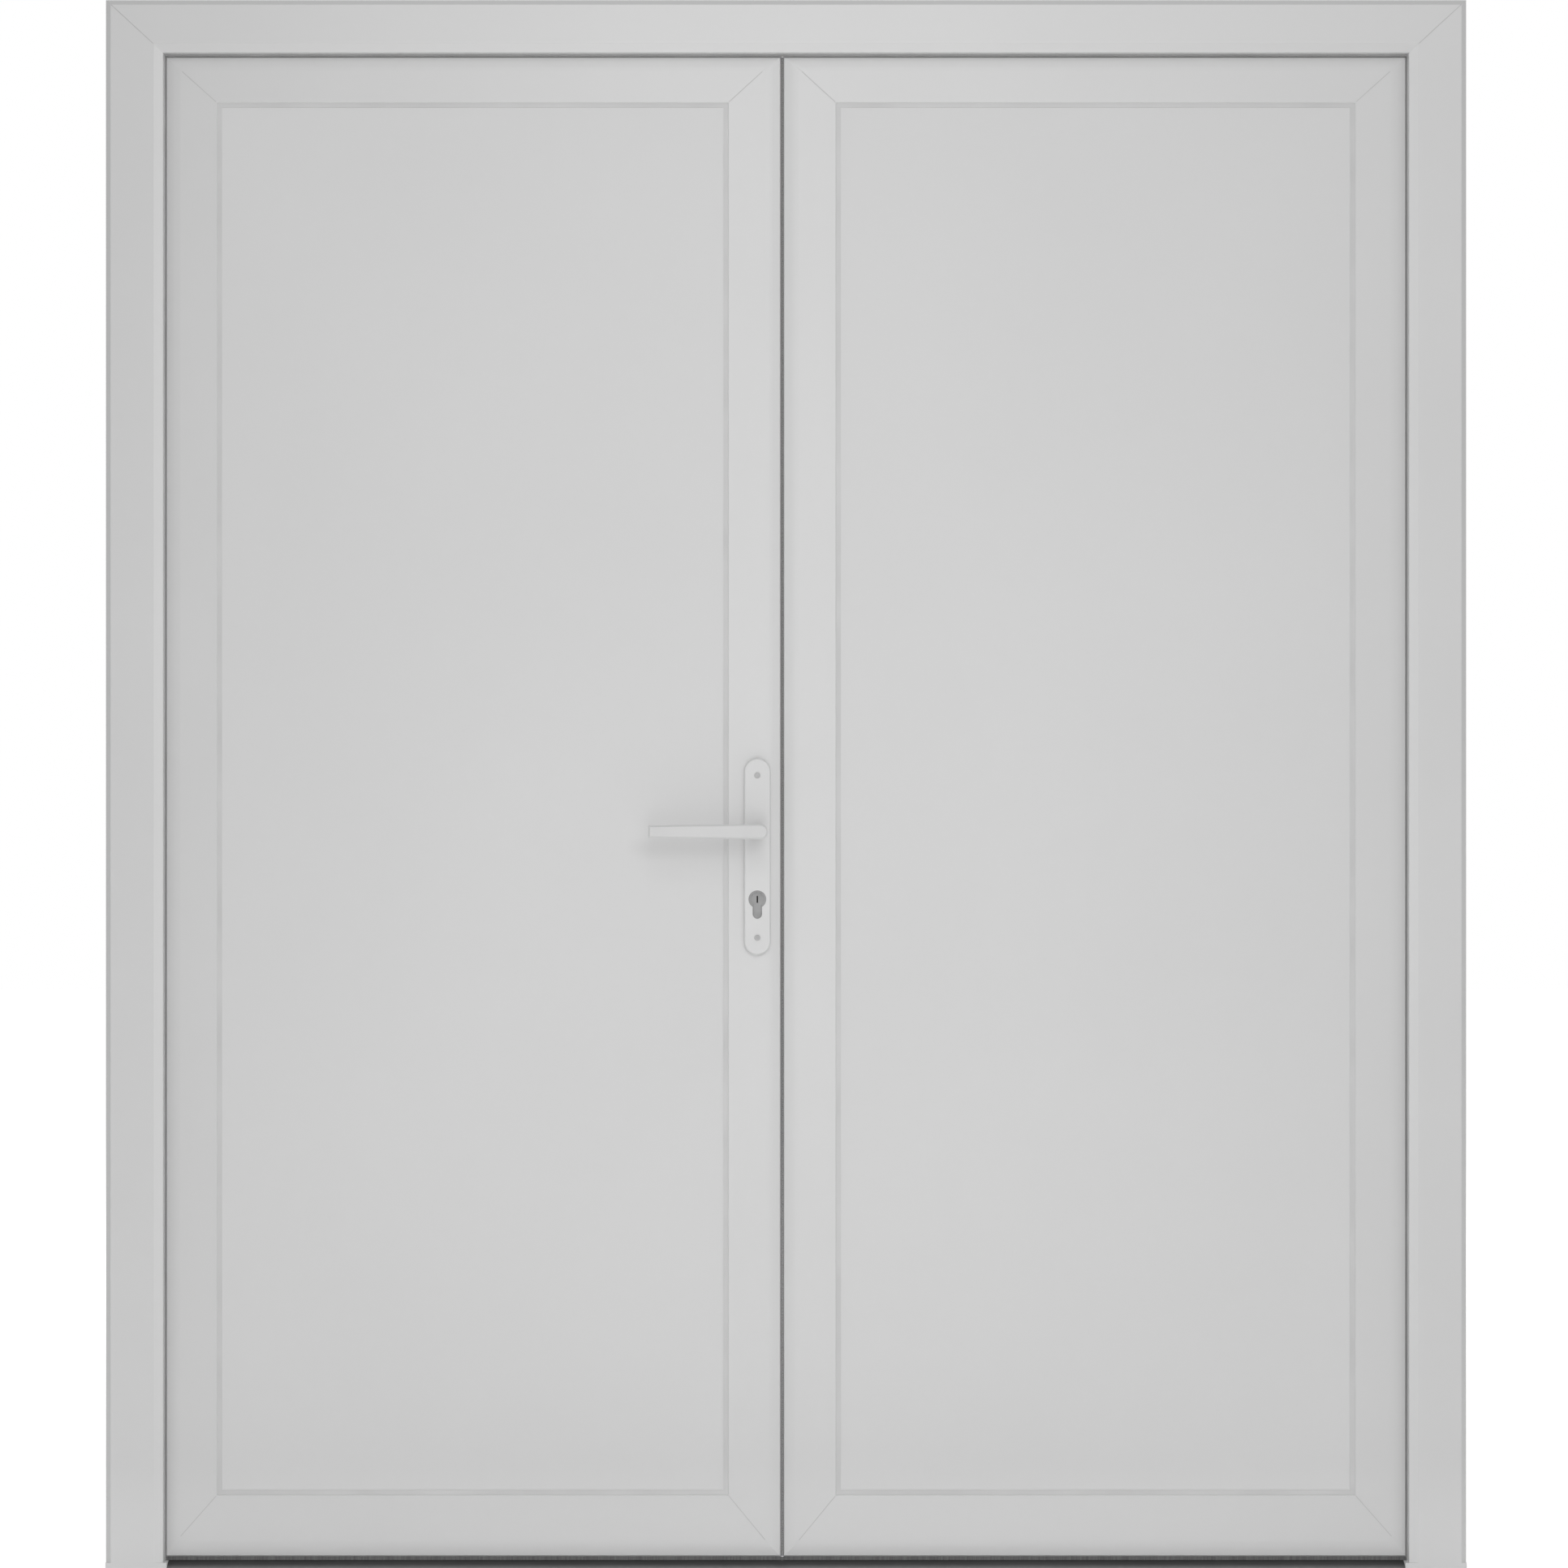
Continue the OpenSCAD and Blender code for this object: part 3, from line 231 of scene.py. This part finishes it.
for part in frame["record"]["subparts"]:
    shown = nodes[part["node"]]
    shown.data.materials.clear()
    shown.data.materials.append(materialFor(part["node"], part["material_slot"]))
print("finishes given:", len(materials))


# New pieces

def addObject(bm, name):
    mesh = bpy.data.meshes.new(name)
    bm.to_mesh(mesh)
    bm.free()
    added = bpy.data.objects.new(name, mesh)
    bpy.context.scene.collection.objects.link(added)
    return added


def addPiece(bm, name, body, slot):
    piece = addObject(bm, name)
    piece.data.materials.append(materialFor(name, slot))
    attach(piece, body)


def middleOf(node):
    low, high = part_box(node)
    return (low + high) / 2


# Screws: a domed head with a cross recess, in shares of the head's radius and height

screwLook = {
    "sides": 24, "dome": 0.7, "domeSteps": 3, "slot": 0.16, "reach": 0.62, "depth": 0.5,
    "rim": 0.9,  # the rim's edges lie above this share of the height
    "flat": 0.9,  # a face of the flat top looks up at least this much
}


# One head, standing on Z = 0
def screwHead(radius, height):
    bm = bmesh.new()
    bmesh.ops.create_cone(
        bm, cap_ends=True, segments=screwLook["sides"], radius1=radius, radius2=radius, depth=height,
        matrix=Matrix.Translation((0, 0, height / 2)))
    rim = [e for e in bm.edges if all(v.co.z > height * screwLook["rim"] for v in e.verts)]
    bmesh.ops.bevel(bm, geom=rim, offset=height * screwLook["dome"], affect="EDGES",
                    segments=screwLook["domeSteps"], profile=0.5, material=-1)
    half = radius * screwLook["slot"]
    reach = radius * screwLook["reach"]
    for axis in (Vector((1, 0, 0)), Vector((0, 1, 0))):
        for side in (-half, half, -reach, reach):
            bmesh.ops.bisect_plane(bm, geom=bm.verts[:] + bm.edges[:] + bm.faces[:],
                                   plane_co=axis * side, plane_no=axis)

    def inRecess(face):
        mid = face.calc_center_median()
        arm = min(abs(mid.x), abs(mid.y)) < half and max(abs(mid.x), abs(mid.y)) < reach
        return arm and face.normal.z > screwLook["flat"]

    bm.normal_update()
    cross = [f for f in bm.faces if inRecess(f)]
    sunk = bmesh.ops.extrude_face_region(bm, geom=cross)
    bmesh.ops.delete(bm, geom=cross, context="FACES")
    moved = [v for v in sunk["geom"] if isinstance(v, bmesh.types.BMVert)]
    bmesh.ops.translate(bm, verts=moved, vec=(0, 0, -height * screwLook["depth"]))
    bmesh.ops.recalc_face_normals(bm, faces=bm.faces[:])
    return bm


# A group of equal screws on a body, each at a point and facing the given way
def screwGroup(name, body, look, facing, points):
    turn = Vector((0, 0, 1)).rotation_difference(Vector(facing)).to_matrix().to_4x4()
    whole = bmesh.new()
    for point in points:
        one = screwHead(look["radius"], look["height"])
        bmesh.ops.transform(one, matrix=Matrix.Translation(point) @ turn, verts=one.verts[:])
        single = bpy.data.meshes.new("single")
        one.to_mesh(single)
        one.free()
        whole.from_mesh(single)
        bpy.data.meshes.remove(single)
    addPiece(whole, name, body, "steel")


hingeScrews = {
    "radius": 0.0034, "height": 0.0009, "rows": (-0.038, -0.013, 0.013, 0.038), "hingeHalf": 0.05,
    "frameInset": 0.010, "leafInset": 0.012, "stagger": 0.006, "frameWing": 0.003,
}


# Screws in both wings of the three hinges on one side
def hingeScrewsOn(side, leafBody, leafNode):
    frameNode = "hinge_frame_half_" + side
    wings = ((frameNode, "frame", hingeScrews["frameInset"]), (leafNode, leafBody, hingeScrews["leafInset"]))
    for node, body, inset in wings:
        low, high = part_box(node)
        atLow = (side == "left") == (node == frameNode)  # which end of the box is the wing's free edge
        free = low.x if atLow else high.x
        inward = 1 if atLow else -1
        face = high.y if node == leafNode else low.y + hingeScrews["frameWing"]
        bottom = low.z + hingeScrews["hingeHalf"]
        top = high.z - hingeScrews["hingeHalf"]
        points = []
        for middle in (bottom, (bottom + top) / 2, top):
            for index, row in enumerate(hingeScrews["rows"]):
                across = inset if index % 2 else inset + hingeScrews["stagger"]
                points.append(Vector((free + inward * across, face, middle + row)))
        screwGroup(node + "_screws", body, hingeScrews, (0, 1, 0), points)


hingeScrewsOn("left", "active_leaf", "active_hinge_half")
hingeScrewsOn("right", "passive_leaf", "passive_hinge_half")

plateScrews = {"radius": 0.0032, "height": 0.0005, "fromEnd": 0.011}


# Two screws near the ends of an upright edge plate
def edgePlateScrews(node, body, facing):
    low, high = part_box(node)
    face = high.x if facing > 0 else low.x
    ends = (low.z + plateScrews["fromEnd"], high.z - plateScrews["fromEnd"])
    points = [Vector((face, middleOf(node).y, z)) for z in ends]
    screwGroup(node + "_screws", body, plateScrews, (facing, 0, 0), points)


edgePlateScrews("lock_faceplate", "active_leaf", 1)
edgePlateScrews("strike_plate", "passive_leaf", -1)
edgePlateScrews("flush_plate_top", "passive_leaf", -1)
edgePlateScrews("flush_plate_bottom", "passive_leaf", -1)

keepScrews = {"radius": 0.0026, "height": 0.0005, "fromEnd": 0.0045}


# Two screws in a flush bolt's keep, facing down from the head or up from the sill
def keepScrewsOn(node, facing):
    low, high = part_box(node)
    face = high.z if facing > 0 else low.z
    ends = (low.x + keepScrews["fromEnd"], high.x - keepScrews["fromEnd"])
    points = [Vector((x, middleOf(node).y, face)) for x in ends]
    screwGroup(node + "_screws", "frame", keepScrews, (0, 0, facing), points)


keepScrewsOn("head_keep", -1)
keepScrewsOn("sill_keep", 1)

handleScrews = {"radius": 0.00405, "height": 0.0016, "sunk": 0.0012}


# Heads of the two screws that hold the front handle plate
def handleScrewHeads():
    low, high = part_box("plate_screws")
    headRadius = (high.x - low.x) / 2
    ends = (low.z + headRadius, high.z - headRadius)
    points = [Vector((middleOf("plate_screws").x, low.y + handleScrews["sunk"], z)) for z in ends]
    screwGroup("plate_screw_heads", "active_leaf", handleScrews, (0, -1, 0), points)


handleScrewHeads()
print("screws set")


# Weld lines: painted shade, a thin grey strip laid in the groove along each mitre

weldLook = {"width": 0.0007, "thick": 0.00028, "below": 0.00006}
weldSpans = {
    "frame": (0.10, 0.83), "hingeTop": (0.49, 0.98), "hingeLow": (0.33, 0.98),
    "meetTop": (0.35, 0.98), "meetLow": (0.27, 0.98),
}


# One seam in the plane of a front face, over a share of the way from the outer to the inner corner
def weldSeam(bm, outer, inner, face, span):
    start = Vector(outer).lerp(Vector(inner), span[0])
    end = Vector(outer).lerp(Vector(inner), span[1])
    way = end - start
    turn = Matrix.Rotation(-math.atan2(way.y, way.x), 4, "Y")
    size = Matrix.Diagonal((way.length, weldLook["thick"], weldLook["width"], 1))
    middle = (start + end) / 2
    place = Matrix.Translation((middle.x, face + weldLook["below"] + weldLook["thick"] / 2, middle.y))
    bmesh.ops.create_cube(bm, size=1, matrix=place @ turn @ size)


def frameSeams():
    bm = bmesh.new()
    headLow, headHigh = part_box("head")
    for jamb, outer, inner in (("jamb_left", 0, 1), ("jamb_right", 1, 0)):
        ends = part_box(jamb)
        weldSeam(bm, (ends[outer].x, headHigh.z), (ends[inner].x, headLow.z), headLow.y, weldSpans["frame"])
    addPiece(bm, "frame_weld_seams", "frame", "frame_white")


# The four seams of one leaf; far and near are the box corners on its hinge side and its meeting side
def leafSeams(leaf, meetStile, far, near):
    bm = bmesh.new()
    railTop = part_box(leaf + "_top_rail")
    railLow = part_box(leaf + "_bottom_rail")
    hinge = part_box(leaf + "_hinge_stile")
    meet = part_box(meetStile)
    panelTop = railTop[0].z
    panelLow = railLow[1].z
    ends = {
        "hingeTop": ((hinge[far].x, hinge[1].z), (hinge[near].x, panelTop)),
        "hingeLow": ((railLow[far].x, railLow[0].z), (hinge[near].x, panelLow)),
        "meetTop": ((meet[near].x, meet[1].z), (meet[far].x, panelTop)),
        "meetLow": ((railLow[near].x, railLow[0].z), (meet[far].x, panelLow)),
    }
    for corner, (outer, inner) in ends.items():
        weldSeam(bm, outer, inner, hinge[0].y, weldSpans[corner])
    addPiece(bm, leaf + "_weld_seams", leaf + "_leaf", "leaf_white")


frameSeams()
leafSeams("active", "active_lock_stile", 0, 1)
leafSeams("passive", "passive_meeting_stile", 1, 0)
print("weld seams set")


# Stage: pale floor, white surroundings, soft lamps and the camera

white = (1, 1, 1, 1)
stage = {"floorSize": 40.0, "floorColour": 0.86, "floorRoughness": 0.9, "floorGloss": 0.1, "ambient": 0.44}
floorLift = {"near": 0.46, "far": 0.62, "from": 1.5, "to": 5.0}  # less near the object, so its shadow shows


# One level for what the camera, metal and glass see, and another for the light that falls on the object
def whereSeen(tree, unseen, seen):
    path = tree.nodes.new("ShaderNodeLightPath")
    total = path.outputs["Is Camera Ray"]
    for ray in ("Is Glossy Ray", "Is Transmission Ray"):
        add = tree.nodes.new("ShaderNodeMath")
        add.operation = "ADD"
        add.use_clamp = True
        tree.links.new(total, add.inputs[0])
        tree.links.new(path.outputs[ray], add.inputs[1])
        total = add.outputs["Value"]
    level = tree.nodes.new("ShaderNodeMapRange")
    level.inputs["To Min"].default_value = unseen
    level.inputs["To Max"].default_value = seen
    tree.links.new(total, level.inputs["Value"])
    return level


# The floor's lift by the distance from the object's middle
def liftAround(tree):
    coord = tree.nodes.new("ShaderNodeTexCoord")
    away = tree.nodes.new("ShaderNodeVectorMath")
    away.operation = "LENGTH"
    lift = tree.nodes.new("ShaderNodeMapRange")
    lift.inputs["From Min"].default_value = floorLift["from"]
    lift.inputs["From Max"].default_value = floorLift["to"]
    lift.inputs["To Min"].default_value = floorLift["near"]
    lift.inputs["To Max"].default_value = floorLift["far"]
    tree.links.new(coord.outputs["Object"], away.inputs[0])
    tree.links.new(away.outputs["Value"], lift.inputs["Value"])
    return lift


floorBm = bmesh.new()
bmesh.ops.create_grid(floorBm, x_segments=1, y_segments=1, size=stage["floorSize"] / 2)
floor = addObject(floorBm, "floor")
floorMat, floorTree, floorShader = newMaterial("floor_pale")
floorShader.inputs["Base Color"].default_value = (*grey(stage["floorColour"]), 1)
floorShader.inputs["Roughness"].default_value = stage["floorRoughness"]
floorShader.inputs["Specular IOR Level"].default_value = stage["floorGloss"]
floorShader.inputs["Emission Color"].default_value = white
floorSeen = whereSeen(floorTree, 0.0, floorLift["far"])
floorTree.links.new(liftAround(floorTree).outputs["Result"], floorSeen.inputs["To Max"])
floorTree.links.new(floorSeen.outputs["Result"], floorShader.inputs["Emission Strength"])
floor.data.materials.append(floorMat)

world = bpy.data.worlds.new("surroundings")
bpy.context.scene.world = world
world.use_nodes = True
worldTree = world.node_tree
backdrop = worldTree.nodes["Background"]
backdrop.inputs["Color"].default_value = white
strength = whereSeen(worldTree, stage["ambient"], 1.0)
worldTree.links.new(strength.outputs["Result"], backdrop.inputs["Strength"])

lamps = {
    "frontStrip": {"place": (0, -2.2, 1.75), "aim": (0, 0, 1.75), "width": 0.7, "height": 3.5, "power": 25},
    "rightKey": {"place": (3.0, -10.5, 4.8), "aim": (0, 0, 1.0), "width": 2.6, "height": 2.6, "power": 110},
    "floorWash": {"place": (0, -1.1, 0.15), "aim": (0, -1.1, 0), "width": 3.0, "height": 1.8, "power": 6.5},
    "backLeft": {"place": (-5.0, 4.5, 3.2), "aim": (0, 0, 1.0), "width": 2.0, "height": 2.0, "power": 170},
    "backRight": {"place": (5.0, 4.5, 3.2), "aim": (0, 0, 1.0), "width": 2.0, "height": 2.0, "power": 120},
}


def softLamp(name, look):
    data = bpy.data.lights.new(name, "AREA")
    data.shape = "RECTANGLE"
    data.size = look["width"]
    data.size_y = look["height"]
    data.energy = look["power"]
    lamp = bpy.data.objects.new(name, data)
    place = Vector(look["place"])
    lamp.location = place
    lamp.rotation_euler = (Vector(look["aim"]) - place).to_track_quat("-Z", "Y").to_euler()
    lamp.visible_camera = False
    bpy.context.scene.collection.objects.link(lamp)


for lampName, lampLook in lamps.items():
    softLamp(lampName, lampLook)

view = {
    "distance": 7.0, "frontPlane": -0.030, "centreX": -0.0027, "centreZ": 1.0497, "seenWidth": 2.073,
    "sensor": 36.0,
}

cameraData = bpy.data.cameras.new("camera")
cameraData.sensor_width = view["sensor"]
cameraData.lens = view["sensor"] * view["distance"] / view["seenWidth"]
camera = bpy.data.objects.new("camera", cameraData)
camera.location = (view["centreX"], view["frontPlane"] - view["distance"], view["centreZ"])
camera.rotation_euler = (math.radians(90), 0, 0)  # level, looking along +Y
bpy.context.scene.collection.objects.link(camera)
bpy.context.scene.camera = camera
bpy.context.scene.view_settings.view_transform = "Standard"
print("stage set")
